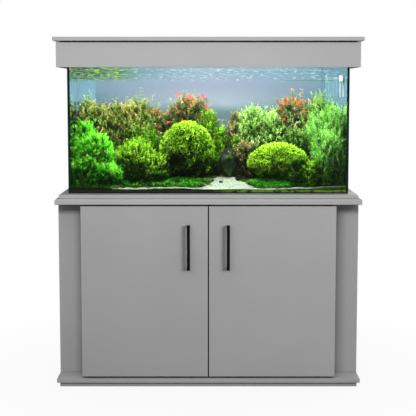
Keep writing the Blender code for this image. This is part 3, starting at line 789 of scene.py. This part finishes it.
def moss_ball(green, centre, radii, light):
    """Tufts of fine fronds all over an egg-shaped cushion."""
    random = green.random
    tufts, fronds, leaf, width, lump = 6000, 5, 0.0120, 0.0026, 0.08
    normal = ball_normals(random, -0.9, tufts)
    bulge = np.array([noise.noise(Vector(n * 3.1) + Vector(centre) * 9.0) for n in normal])
    bulge = bulge + 0.6 * lumps_at(normal, 8.0, 2)
    root = np.array(centre) + normal * np.array(radii) * (1.0 + lump * bulge)[:, None]
    outward = unit(normal / np.array(radii))
    tint = random.uniform(0, 1, tufts)
    # Painted light: the cushion's top and its bulges are lighter, its underside darker as painted shade.
    light = np.clip(light + 0.36 * normal[:, 2] + 0.30 * bulge, 0.06, 1.0)
    for _ in range(fronds):
        along = outward + random.normal(0, 0.55, outward.shape) + np.array((0, 0, -0.10))
        length = leaf * random.uniform(0.6, 1.4, tufts)
        start = root + random.normal(0, 0.0015, root.shape) - outward * 0.004
        shade = light * random.uniform(0.25, 1.5, tufts)
        green.leaves(start, along, length, width * length / leaf, tint, shade)


def shaped_ball(name, subdivisions, shape, material, replaced=(), sharp_degrees=None):
    """A piece on the cabinet: a ball whose points are moved to shape(point)."""
    made = bmesh.new()
    bmesh.ops.create_icosphere(made, subdivisions=subdivisions, radius=1.0)
    for vert in made.verts:
        vert.co = shape(vert.co)
    add_built(name, made, material, "cabinet", replaced, True, sharp_degrees)


def on_ground(point):
    """The point, lifted where it is further in the ground than the cores of plants reach."""
    point.z = max(point.z, ground_z(point.x, point.y) - CORE_DEPTH_IN_GROUND)
    return point


def ball_core(name, centre, radii, material):
    """The lumpy body under a moss cushion's fronds, near black as painted shade."""

    def shape(co):
        lumps = 0.95 + 0.10 * noise.noise(co * 3.1 + Vector(centre) * 9.0)
        return on_ground(Vector(centre) + Vector([co[i] * radii[i] * lumps for i in range(3)]))

    shaped_ball(name, 5, shape, material)


def bush_core(name, centre, radii, top, material, seed):
    """The mass of stalks and old leaves inside a bush, coloured near black as painted shade."""
    middle, size = dome(centre, radii, top)
    middle = Vector(middle)

    def shape(co):
        at = middle + Vector([co[i] * size[i] for i in range(3)])
        bulge = 0.65 * lump_at(at, 17.0, seed) + 0.45 * lump_at(at, 42.0, seed + 3)
        rough = 0.02 * noise.noise(at * 160.0)
        point = on_ground(middle + (at - middle) * (0.80 + LUMP * bulge + rough))
        point.x = max(-WATER_SIDE + CORE_WALL_GAP, min(WATER_SIDE - CORE_WALL_GAP, point.x))
        point.y = max(WATER_FRONT + CORE_WALL_GAP, min(WATER_BACK - CORE_WALL_GAP, point.y))
        return point

    shaped_ball(name, 5, shape, material)


def rock(name, centre, radii, seed, material, replaced=()):
    """A rough boulder with flat facets."""

    def shape(co):
        spot = co * 1.4 + Vector((seed, seed * 2.0, 0.0))
        rough = 0.28 * noise.noise(spot) + 0.10 * noise.noise(spot * 3.0) + 0.04 * noise.noise(spot * 8.0)
        chip = 0.10 * abs(noise.noise(spot * 1.7 + Vector((5.0, 1.0, 2.0))))
        return Vector(centre) + Vector([co[i] * radii[i] * (1.0 + rough - chip) for i in range(3)])

    shaped_ball(name, 4, shape, material, replaced, sharp_degrees=32)


def make_ground():
    """The ground as one closed block: drifting top, sides at the glass, a layer of sand at the front."""
    columns, rows = 400, 120
    xs = np.linspace(-WATER_SIDE + GROUND_GAP, WATER_SIDE - GROUND_GAP, columns)
    ys = np.linspace(WATER_FRONT + GROUND_GAP, WATER_BACK - GROUND_GAP, rows)
    top = np.array([[(x, y, ground_z(x, y)) for x in xs] for y in ys])
    sand = np.array([[sand_share(x, y) for x in xs] for y in ys])
    bottom = top.copy()
    bottom[:, :, 2] = WATER_LOW + GROUND_GAP
    sand_low, soil_high = top[0] - (0, 0, 0.0042), top[0] - (0, 0, 0.0050)
    points = np.concatenate([top.reshape(-1, 3), bottom.reshape(-1, 3), sand_low, soil_high])
    index = np.arange(rows * columns).reshape(rows, columns)
    under = index + rows * columns
    layer = np.arange(columns) + 2 * rows * columns
    lower = layer + columns

    def quads(a, b, c, d):
        a, b, c, d = (part.ravel() for part in (a, b, c, d))
        return np.concatenate([np.stack([a, b, c], -1), np.stack([a, c, d], -1)])

    faces = [
        quads(index[:-1, :-1], index[:-1, 1:], index[1:, 1:], index[1:, :-1]),
        quads(under[:-1, :-1], under[1:, :-1], under[1:, 1:], under[:-1, 1:]),
        quads(under[0, :-1], under[0, 1:], lower[1:], lower[:-1]),
        quads(lower[:-1], lower[1:], layer[1:], layer[:-1]),
        quads(layer[:-1], layer[1:], index[0, 1:], index[0, :-1]),
        quads(index[-1, :-1], index[-1, 1:], under[-1, 1:], under[-1, :-1]),
        quads(index[:-1, 0], index[1:, 0], under[1:, 0], under[:-1, 0]),
        quads(under[:-1, -1], under[1:, -1], index[1:, -1], index[:-1, -1]),
    ]
    ends = [SAND_LEFT_END + 0.02 * noise.noise(Vector((x * 90.0, 0, 0))) for x in xs]
    section = np.array([1.0 if x > end else 0.0 for x, end in zip(xs, ends)])
    sand[0] = np.maximum(sand[0], section)
    shares = np.concatenate([sand.ravel(), 0 * sand.ravel(), section, 0 * section])
    mesh = array_mesh("ground", points, np.concatenate(faces), {"sand": shares})
    add_piece("ground", mesh, ground_look(), "cabinet", ["substrate"])


# ---------------------------------------------------------------- planting


TINY = {"sprigs": 900, "light": 1.1, "length": 0.036, "rise": 0.7, "rings": 6, "per_ring": 4}
TINY.update(leaf=0.0095, width=0.0034, angle=62)
SMALL = {**TINY, "leaf": 0.0125, "width": 0.0044, "length": 0.044, "wild": 0.32, "reach": 0.9}
HANGING = {**TINY, "length": 0.050, "rise": 1.8, "rings": 9, "leaf": 0.0085, "width": 0.0030}
HANGING.update(wild=0.30, reach=1.2)
SKIRT = {**TINY, "length": 0.026, "rings": 5, "light": 0.55}
FEATHER = {**TINY, "light": 1.3, "rings": 8, "per_ring": 6, "leaf": 0.0100, "width": 0.0019}
FEATHER.update(length=0.038, rise=1.0)
TALL = {"rings": 34, "per_ring": 4, "leaf": 0.0110, "width": 0.0036, "angle": 62, "start": 0.25}
WISP = {"stems": 5, "rings": 13, "per_ring": 3, "leaf": 0.0105, "width": 0.0036, "angle": 60}
WISP.update(start=0.45, spread=0.03)
BROAD = {"stems": 46, "rings": 11, "per_ring": 4, "leaf": 0.016, "width": 0.0060, "angle": 60}
BROAD.update(start=0.3, broad=True, light=0.52)
RED_TIPS = {"share": 0.26, "above": 0.42, "leaf": 0.020, "width": 0.0038}
LOW_PLANTS = {"bare": 0.35, "height": 0.012, "leaves": 5, "leaf": 0.006, "width": 0.0026, "light": 0.55}
MOSS_BALLS = (
    ("moss_ball_left", "moss_ball", 21, 1.0, 0.46),
    ("moss_ball_right", "moss_mound", 22, 0.86, 0.60),
)


def clump(x, y, half_x, half_y, top, spec, **changes):
    """A bush, or a stand of stems where spec has stems, on an oval of ground."""
    return (x, y), (half_x, half_y), top, {**spec, **changes}


def oval(node):
    """Middle x and y, half widths and top of one of the model's solids."""
    low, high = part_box(node)
    middle = (low + high) / 2
    return middle.x, middle.y, (high.x - low.x) / 2, (high.y - low.y) / 2, high.z


def clump_of(node, lower, spec, wider=0.0, **changes):
    """The clump that stands where one of the model's solids does."""
    x, y, half_x, half_y, top = oval(node)
    return clump(x, y, half_x + wider, half_y, top - lower, spec, **changes)


def plant(name, seed, look, slot, core, clumps, replaced=(), tips=None):
    """One piece of leaves and stems for all of its clumps, and a core piece in each of its bushes."""
    green = Greenery(seed)
    for number, (centre, radii, top, spec) in enumerate(clumps):
        if "stems" in spec:
            stem_bush(green, centre, radii, top, spec)
            continue
        lump_seed = seed + 7 * number
        heads, grow, tint, outward = bush(green, centre, radii, top, spec, lump_seed)
        bush_core(f"{name}_core_{number}", centre, radii, top, core, lump_seed)
        if tips:
            high = outward[:, 2] + 0.25 * green.random.normal(0, 1, len(tint)) > tips["above"]
            chosen = (tint < tips["share"]) & high
            coloured_tips(green, heads[chosen], grow[chosen], tips["leaf"], tips["width"])
    green.finish(name, look, slot, replaced)


def make_plants():
    bright = leaf_look("bright_green_leaf", (6, 38, 4), (70, 176, 22), (150, 236, 74), (186, 236, 96))
    fresh = leaf_look("fresh_green_leaf", (8, 40, 8), (94, 162, 50), (170, 218, 112), (200, 232, 150))
    olive = leaf_look("olive_leaf", (12, 26, 6), (96, 124, 40), (184, 200, 112), (206, 150, 100), 0.26)
    pale = leaf_look("pale_green_leaf", (12, 38, 8), (124, 168, 66), (206, 230, 146), (226, 232, 170))
    lime = leaf_look("lime_leaf", (12, 38, 4), (104, 160, 20), (184, 222, 60), (206, 220, 84))
    rust = leaf_look("rust_leaf", (12, 20, 8), (92, 104, 52), (184, 184, 128), (224, 70, 48), 0.0)
    pink = leaf_look("pink_leaf", (24, 30, 14), (126, 116, 66), (206, 174, 132), (226, 150, 120), 0.3)
    moss = leaf_look("moss_frond", (6, 14, 2), (92, 146, 14), (190, 228, 60), (206, 226, 90), 0.15, 0.6)
    core = core_look()

    x, y, _, half_y, top = oval("back_left_plants")
    clumps = [
        clump(x + 0.075, y, 0.115, half_y, top - 0.010, SMALL, sprigs=1500, light=1.2),
        clump(x - 0.085, y, 0.105, half_y, top - 0.030, SMALL, sprigs=1300),
        clump(-0.550, 0.150, 0.060, 0.085, 1.240, SMALL),
        clump(-0.410, 0.185, 0.070, 0.055, 1.228, SMALL, sprigs=700),
        clump(-0.315, 0.160, 0.030, 0.040, 1.330, WISP),
        clump(-0.480, 0.160, 0.060, 0.030, 1.265, WISP, stems=4),
    ]
    plant("back_left_bushes", 11, olive, "leaf_olive", core, clumps, ["back_left_plants"])
    clumps = [
        clump_of("red_plants_left", 0.035, SMALL, sprigs=1500),
        clump(-0.245, 0.150, 0.070, 0.080, 1.205, SMALL, sprigs=800),
    ]
    plant("red_stems_left", 12, rust, "leaf_red", core, clumps, ["red_plants_left"], RED_TIPS)
    clumps = [clump_of("red_plants_right", 0.035, SMALL, 0.020, sprigs=1300, light=1.35)]
    plant("red_stems_right", 13, rust, "leaf_red", core, clumps, ["red_plants_right"], RED_TIPS)
    clumps = [
        clump_of("pale_bush", 0.008, TINY, sprigs=1500, light=1.35),
        clump(0.290, 0.110, 0.075, 0.080, 1.195, TINY, sprigs=1000, light=1.3),
        clump(0.395, 0.050, 0.080, 0.055, 1.115, TINY, sprigs=800, light=0.85),
    ]
    plant("pale_right_bush", 14, pale, "leaf_green", core, clumps, ["pale_bush"])
    clumps = [
        clump(0.540, 0.020, 0.062, 0.110, 1.190, HANGING, sprigs=1500, light=1.45),
        clump(0.535, -0.120, 0.062, 0.050, 1.075, HANGING, light=1.6),
        clump_of("tall_right_plants", 0.0, TALL, stems=80),
        clump(0.540, -0.110, 0.055, 0.055, 1.100, TALL, stems=60, rings=22),
    ]
    plant("tall_right_bush", 15, fresh, "leaf_green", core, clumps, ["tall_right_plants"])
    clumps = [
        clump(0.505, 0.170, 0.085, 0.070, 1.245, HANGING, sprigs=1500, light=1.0),
        clump(0.500, 0.170, 0.085, 0.065, 1.262, TALL, stems=50),
    ]
    plant("tall_back_bush", 25, pale, "leaf_green", core, clumps)
    clumps = [
        clump_of("front_left_bush", 0.008, FEATHER, 0.010, sprigs=1200),
        clump(-0.550, 0.010, 0.055, 0.070, 1.150, FEATHER, sprigs=600),
        clump(-0.535, -0.130, 0.065, 0.045, 1.000, FEATHER, sprigs=600),
        clump(-0.440, -0.125, 0.060, 0.040, 0.960, FEATHER, sprigs=500),
    ]
    plant("feather_bush_left", 16, bright, "leaf_green", core, clumps, ["front_left_bush"])
    clumps = [
        clump_of("middle_left_bush", 0.030, TINY, sprigs=1200),
        clump(-0.235, -0.050, 0.060, 0.050, 1.000, TINY, sprigs=500),
        clump(-0.400, -0.020, 0.060, 0.060, 1.020, TINY, sprigs=500),
        clump(-0.345, -0.085, 0.050, 0.035, 0.945, SKIRT, sprigs=350),
        clump(-0.230, -0.105, 0.055, 0.030, 0.935, SKIRT, sprigs=350),
        clump(0.400, -0.110, 0.070, 0.045, 1.000, SKIRT, sprigs=600, light=0.75),
        clump(0.465, -0.130, 0.060, 0.040, 0.975, SKIRT, sprigs=600, light=1.0),
    ]
    plant("lime_bush_left", 17, lime, "leaf_green", core, clumps, ["middle_left_bush"])
    clumps = [clump(-0.275, 0.062, 0.085, 0.028, 1.140, BROAD)]
    plant("broad_stems_left", 18, lime, "leaf_green", core, clumps)
    clumps = [
        clump(-0.005, 0.130, 0.055, 0.070, 1.195, TINY),
        clump(0.050, 0.120, 0.045, 0.060, 1.125, TINY, sprigs=600, light=0.9),
        clump(0.020, 0.035, 0.026, 0.050, 1.010, TINY, sprigs=400, light=0.6),
        clump(0.138, 0.070, 0.042, 0.050, 1.080, TINY, sprigs=500, light=0.75),
    ]
    plant("valley_bushes", 19, lime, "leaf_green", core, clumps)
    clumps = [
        clump(0.165, -0.005, 0.038, 0.036, 1.060, SMALL, sprigs=320, light=0.85),
        clump(0.125, 0.130, 0.040, 0.050, 1.190, SMALL, sprigs=420),
        clump(0.035, 0.160, 0.030, 0.020, 1.215, WISP, stems=6),
        clump(0.262, 0.170, 0.020, 0.020, 1.315, WISP),
        clump(0.440, 0.200, 0.020, 0.020, 1.310, WISP),
    ]
    plant("pink_stems", 20, pink, "leaf_red", core, clumps)

    green = Greenery(24)
    carpet(green, 5200, 0.020, 0.110, LOW_PLANTS)
    carpet(green, 1800, 0.0015, 0.016, {**LOW_PLANTS, "height": 0.007, "light": 0.6, "bare": 0.5})
    green.finish("carpet", bright, "leaf_green")

    for name, node, seed, wide, light in MOSS_BALLS:
        x, y, half_x, half_y, top = oval(node)
        depth = (top - ground_z(x, y)) / 2 + 0.008
        middle, size = (x, y, top - depth), (wide * half_x - 0.004, half_y - 0.004, depth - 0.006)
        ball_core(f"{name}_core", middle, size, core)
        green = Greenery(seed)
        moss_ball(green, middle, size, light)
        green.finish(name, moss, "moss", [node])


SMALL_STONES = (
    (0.020, 0.045, 0.016),
    (-0.030, -0.125, 0.010),
    (0.135, -0.060, 0.016),
    (0.055, -0.090, 0.008),
)


def make_rocks():
    stone = stone_look()
    low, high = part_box("centre_rock")
    middle = (low + high) / 2 + Vector((0, 0, 0.014))
    size = (high - low) / 2
    rock("centre_boulder", middle, (size.x, size.y, size.z + 0.014), 3.1, stone, ["centre_rock"])
    for k, (x, y, radius) in enumerate(SMALL_STONES):
        middle, size = (x, y, ground_z(x, y) + radius * 0.3), (radius, radius * 0.9, radius * 0.7)
        rock(f"small_stone_{k}", middle, size, 7.7 + k, stone)


# ---------------------------------------------------------------- water and the rest of the tank


def make_water():
    """The water as one closed block that nearly touches the glass, with a slightly rippled surface."""
    columns, rows = 120, 46
    xs = np.linspace(-WATER_SIDE, WATER_SIDE, columns)
    ys = np.linspace(WATER_FRONT, WATER_BACK, rows)

    def ripple(x, y):
        edge = min(1.0, (WATER_SIDE - abs(x)) / 0.02, (y - WATER_FRONT) / 0.02, (WATER_BACK - y) / 0.02)
        return 0.0012 * edge * noise.noise(Vector((x * 16.0, y * 16.0, 0.0)))

    made = bmesh.new()
    top = [[made.verts.new((x, y, WATER_TOP + ripple(x, y))) for x in xs] for y in ys]
    corners = [made.verts.new((xs[i], ys[j], WATER_LOW)) for i, j in ((0, 0), (-1, 0), (-1, -1), (0, -1))]
    for j in range(rows - 1):
        for i in range(columns - 1):
            made.faces.new((top[j][i], top[j][i + 1], top[j + 1][i + 1], top[j + 1][i]))
    made.faces.new((corners[0], corners[1], *reversed(top[0])))
    made.faces.new((corners[1], corners[2], *[row[-1] for row in reversed(top)]))
    made.faces.new((corners[2], corners[3], *top[-1]))
    made.faces.new((corners[3], corners[0], *[row[0] for row in top]))
    made.faces.new(list(reversed(corners)))
    bmesh.ops.triangulate(made, faces=made.faces)
    bmesh.ops.recalc_face_normals(made, faces=made.faces)
    add_built("water", made, water_look(), "cabinet")


def make_seal(material):
    """The soft black strip on the hood's front panel that the lid closes on; it also stands in as painted
    shade for the dark shadow line under the lid's overhang.
    """
    panel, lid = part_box("hood_front_panel"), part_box("lid")
    low = Vector((panel[0].x + 0.0185, panel[0].y + 0.0030, panel[1].z + 0.0003))
    high = Vector((panel[1].x - 0.0185, panel[1].y - 0.0030, lid[0].z - 0.0003))
    middle_y, half_y = (low.y + high.y) / 2, (high.y - low.y) / 2
    middle_z, half_z = (low.z + high.z) / 2, (high.z - low.z) / 2
    steps, corners = 240, 12
    flat_side, flat_top = 0.80, 0.85
    made = bmesh.new()
    rings = []
    for i in range(steps + 1):
        x = low.x + (high.x - low.x) * i / steps
        swell = 0.0007 * noise.noise(Vector((x * 40.0, 0.0, 0.0)))
        ring = []
        for k in range(corners):
            angle = 2 * math.pi * (k + 0.5) / corners
            wide = max(-flat_side, min(flat_side, math.cos(angle))) / flat_side
            tall = max(-flat_top, min(flat_top, math.sin(angle))) / flat_top
            ring.append(made.verts.new((x, middle_y + wide * (half_y + swell), middle_z + tall * half_z)))
        rings.append(ring)
    for a, b in zip(rings, rings[1:]):
        for k in range(corners):
            made.faces.new((a[k], a[(k + 1) % corners], b[(k + 1) % corners], b[k]))
    made.faces.new(rings[0])
    made.faces.new(list(reversed(rings[-1])))
    bmesh.ops.recalc_face_normals(made, faces=made.faces)
    add_built("lid_seal", made, material, "hood")


def make_lens():
    """The frosted strip under the light unit that the light comes out of."""
    low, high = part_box("light_unit")
    half_length, half_width = 0.600, 0.034
    gap, bulge = 0.0006, 0.0042
    across, along = 14, 60
    made = bmesh.new()
    rows = []
    for j in range(across + 1):
        share = 2 * j / across - 1
        y = (low.y + high.y) / 2 + share * half_width
        z = low.z - gap - bulge * (1.0 - share**4)
        xs = [-half_length + 2 * half_length * i / along for i in range(along + 1)]
        rows.append([made.verts.new((x, y, z)) for x in xs])
    for a, b in zip(rows, rows[1:]):
        for i in range(along):
            made.faces.new((a[i], b[i], b[i + 1], a[i + 1]))
    rim = [row[0] for row in rows[1:]] + rows[-1][1:] + [row[-1] for row in rows[-2::-1]] + rows[0][-2::-1]
    made.faces.new(list(reversed(rim)))
    bmesh.ops.recalc_face_normals(made, faces=made.faces)
    look = Look("light_lens")
    frost = look.two_tone(look.noise(300.0, 2.0), (0.80, 0.82, 0.82), (0.88, 0.90, 0.90))
    lit = look.coat(BaseColor=frost, Roughness=0.5, EmissionColor=(0.93, 1.0, 1.0), EmissionStrength=1.6)
    add_built("light_lens", made, lit, "hood")


def assign(material, *nodes):
    for name in nodes:
        thing = frame["nodes"][name]
        thing.data.materials.clear()
        thing.data.materials.append(material)


PANES = {
    "x": ("tank_left_glass", "tank_right_glass"),
    "y": ("tank_front_glass", "tank_back_glass"),
    "z": ("tank_front_brace", "tank_back_brace"),
}


def dress_model(soft_black):
    """Materials for the model's own solids that stay in view."""
    by_slot = {
        "painted_board": painted_board(),
        "handle_black": powder_black(),
        "hinge_steel": plated_steel(),
        "foam_mat": soft_black,
        "background_film": film_look(),
        "clear_pipe": clear_tube(),
        "white_plastic": white_plastic(),
        "light_housing": lamp_metal(),
    }
    for part in frame["record"]["subparts"]:
        if part["material_slot"] in by_slot:
            assign(by_slot[part["material_slot"]], part["node"])
    for axis, nodes in PANES.items():
        assign(pane_glass(axis), *nodes)
    assign(pane_glass("z", grown=True), "tank_bottom_glass")
    # Painted shade: a thin near-black band on the cornice's lower edge for the shadow line above the doors,
    # and a near-black front edge on the divider for the shaded gap between the doors.
    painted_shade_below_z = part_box("cornice_lower_board")[0].z + 0.0011
    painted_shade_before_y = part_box("centre_divider")[0].y + 0.0006
    assign(painted_board("painted_shade_lower_edge", "Z", painted_shade_below_z), "cornice_lower_board")
    assign(painted_board("painted_shade_front_edge", "Y", painted_shade_before_y), "centre_divider")


# ---------------------------------------------------------------- room and light

OTHER_TANK_THINGS = {"tank_bottom_glass", "background_film", "filter_return_pipe", "gas_diffuser"}

FILL_LOW = 0.04
FILL_HIGH = 0.80
MIRRORED = 0.03
KEY_MIDDLE = 36.5
DOOR_KEY = 7.5
DOOR_SIDE = 570.0
KEY_RIGHT = 5.5
TANK_LIGHT = 59.0
FRONT_LIGHT = 40.0
BACK_LIGHT = 20.0
WATER_WHITE = (0.97, 1.0, 0.98)
FLOOR_NEAR_WHITE = 0.93


def area_light(name, place, aim, size, power, colour=(1.0, 1.0, 1.0)):
    data = bpy.data.lights.new(name, "AREA")
    data.shape = "RECTANGLE"
    data.size, data.size_y = size
    data.energy = power
    data.color = colour
    lamp = bpy.data.objects.new(name, data)
    bpy.context.scene.collection.objects.link(lamp)
    lamp.location = place
    lamp.rotation_euler = (Vector(aim) - Vector(place)).to_track_quat("-Z", "Y").to_euler()
    lamp.visible_camera = False
    lamp.visible_transmission = False
    return lamp


def make_floor():
    """Pale floor, seen as plain white further away from the stand."""
    half = 14.0
    corners = [(-half, -half, 0), (half, -half, 0), (half, half, 0), (-half, half, 0)]
    mesh = bpy.data.meshes.new("floor")
    mesh.from_pydata(corners, [], [(0, 1, 2, 3)])
    floor = bpy.data.objects.new("floor", mesh)
    floor.location.z = -0.0005
    bpy.context.scene.collection.objects.link(floor)
    look = Look("floor")
    pale = look.surface(BaseColor=(0.35, 0.35, 0.35), Roughness=0.9)
    white = look.node("Emission", None, {"Color": (1, 1, 1, 1), "Strength": 1.0}).outputs[0]
    away = look.node("VectorMath", {"operation": "LENGTH"}, {0: look.place()}).outputs["Value"]
    fade = look.map(away, 0.55, 1.6, FLOOR_NEAR_WHITE, 1.0)
    seen = look.node("LightPath").outputs["Is Camera Ray"]
    mesh.materials.append(look.finish(look.blend(look.times(fade, seen), pale, white)))
    floor.visible_glossy = False
    floor.visible_transmission = False


def make_world():
    """White where the camera sees it, a soft fill light from above otherwise, and dim in reflections."""
    world = bpy.data.worlds.new("white_room")
    bpy.context.scene.world = world
    world.use_nodes = True
    tree = world.node_tree
    tree.nodes.clear()
    path = tree.nodes.new("ShaderNodeLightPath")

    def background(strength):
        made = tree.nodes.new("ShaderNodeBackground")
        made.inputs["Strength"].default_value = strength
        made.inputs["Color"].default_value = (1.0, 1.0, 1.0, 1.0)
        return made.outputs[0]

    def choose(ray, otherwise, if_ray):
        made = tree.nodes.new("ShaderNodeMixShader")
        tree.links.new(path.outputs[ray], made.inputs[0])
        tree.links.new(otherwise, made.inputs[1])
        tree.links.new(if_ray, made.inputs[2])
        return made.outputs[0]

    fill = background(FILL_LOW)
    direction = tree.nodes.new("ShaderNodeTexCoord")
    split = tree.nodes.new("ShaderNodeSeparateXYZ")
    upward = tree.nodes.new("ShaderNodeMapRange")
    for socket, value in zip(upward.inputs[1:5], (-0.1, 0.9, FILL_LOW, FILL_HIGH)):
        socket.default_value = value
    tree.links.new(direction.outputs["Generated"], split.inputs[0])
    tree.links.new(split.outputs["Z"], upward.inputs[0])
    tree.links.new(upward.outputs[0], fill.node.inputs["Strength"])
    shader = choose("Is Glossy Ray", fill, background(MIRRORED))
    shader = choose("Is Camera Ray", shader, background(1.0))
    tree.links.new(shader, tree.nodes.new("ShaderNodeOutputWorld").inputs["Surface"])


def make_lamps():
    """Soft lamps in the room, two of them for the doors alone, and the tank's own under the hood."""
    place, aim, size = (-0.15, -2.45, 1.64), (0.0, -0.2, 1.75), (1.0, 0.45)
    key = area_light("key_light", place, aim, size, KEY_MIDDLE)
    door_key = area_light("door_key_light", (-1.1, -2.45, 1.64), aim, size, DOOR_KEY)
    # The doors' main light comes from the right, so that the handles' soft shadows fall to their left.
    place, aim, size = (3.7, -5.0, 1.64), (1.3, -2.9, 7.8), (2.2, 1.4)
    door_side = area_light("door_side_light", place, aim, size, DOOR_SIDE)
    for lamp, state in ((key, "EXCLUDE"), (door_key, "INCLUDE"), (door_side, "INCLUDE")):
        lamp.visible_glossy = False
        doors = bpy.data.collections.new(f"doors_for_{lamp.name}")
        for name in ("left_door", "right_door", "left_handle", "right_handle"):
            doors.objects.link(bpy.data.objects[name])
        for member in doors.collection_objects:
            member.light_linking.link_state = state
        lamp.light_linking.receiver_collection = doors
    area_light("side_light", (1.50, -2.5, 1.70), (0.0, -0.2, 1.60), (0.5, 0.3), KEY_RIGHT)
    area_light("back_light", (0.6, 3.0, 2.0), (0.0, 0.2, 0.8), (2.0, 1.0), BACK_LIGHT)
    # Steep light can't leave water through its side, so the tank's lamps light only what is in the tank.
    inside = bpy.data.collections.new("lit_by_tank_lights")
    tank_things = OTHER_TANK_THINGS.union(PLANTED, *PANES.values())
    for thing in bpy.data.objects:
        if thing.name in tank_things:
            inside.objects.link(thing)
    place, aim, size = (0.0, 0.04, 1.452), (0.0, 0.04, 0.9), (1.10, 0.30)
    above = area_light("tank_light", place, aim, size, TANK_LIGHT, WATER_WHITE)
    place, aim, size = (0.0, -0.165, 1.45), (0.0, 0.08, 0.9), (1.12, 0.05)
    front = area_light("tank_front_light", place, aim, size, FRONT_LIGHT, WATER_WHITE)
    for lamp in (above, front):
        lamp.visible_glossy = False
        lamp.light_linking.receiver_collection = inside


def make_room():
    make_floor()
    make_world()
    make_lamps()
    bpy.context.scene.view_settings.view_transform = "Standard"


def main():
    make_camera()
    soft_black = foam()
    dress_model(soft_black)
    make_ground()
    make_rocks()
    make_plants()
    make_water()
    make_seal(soft_black)
    make_lens()
    make_room()


main()
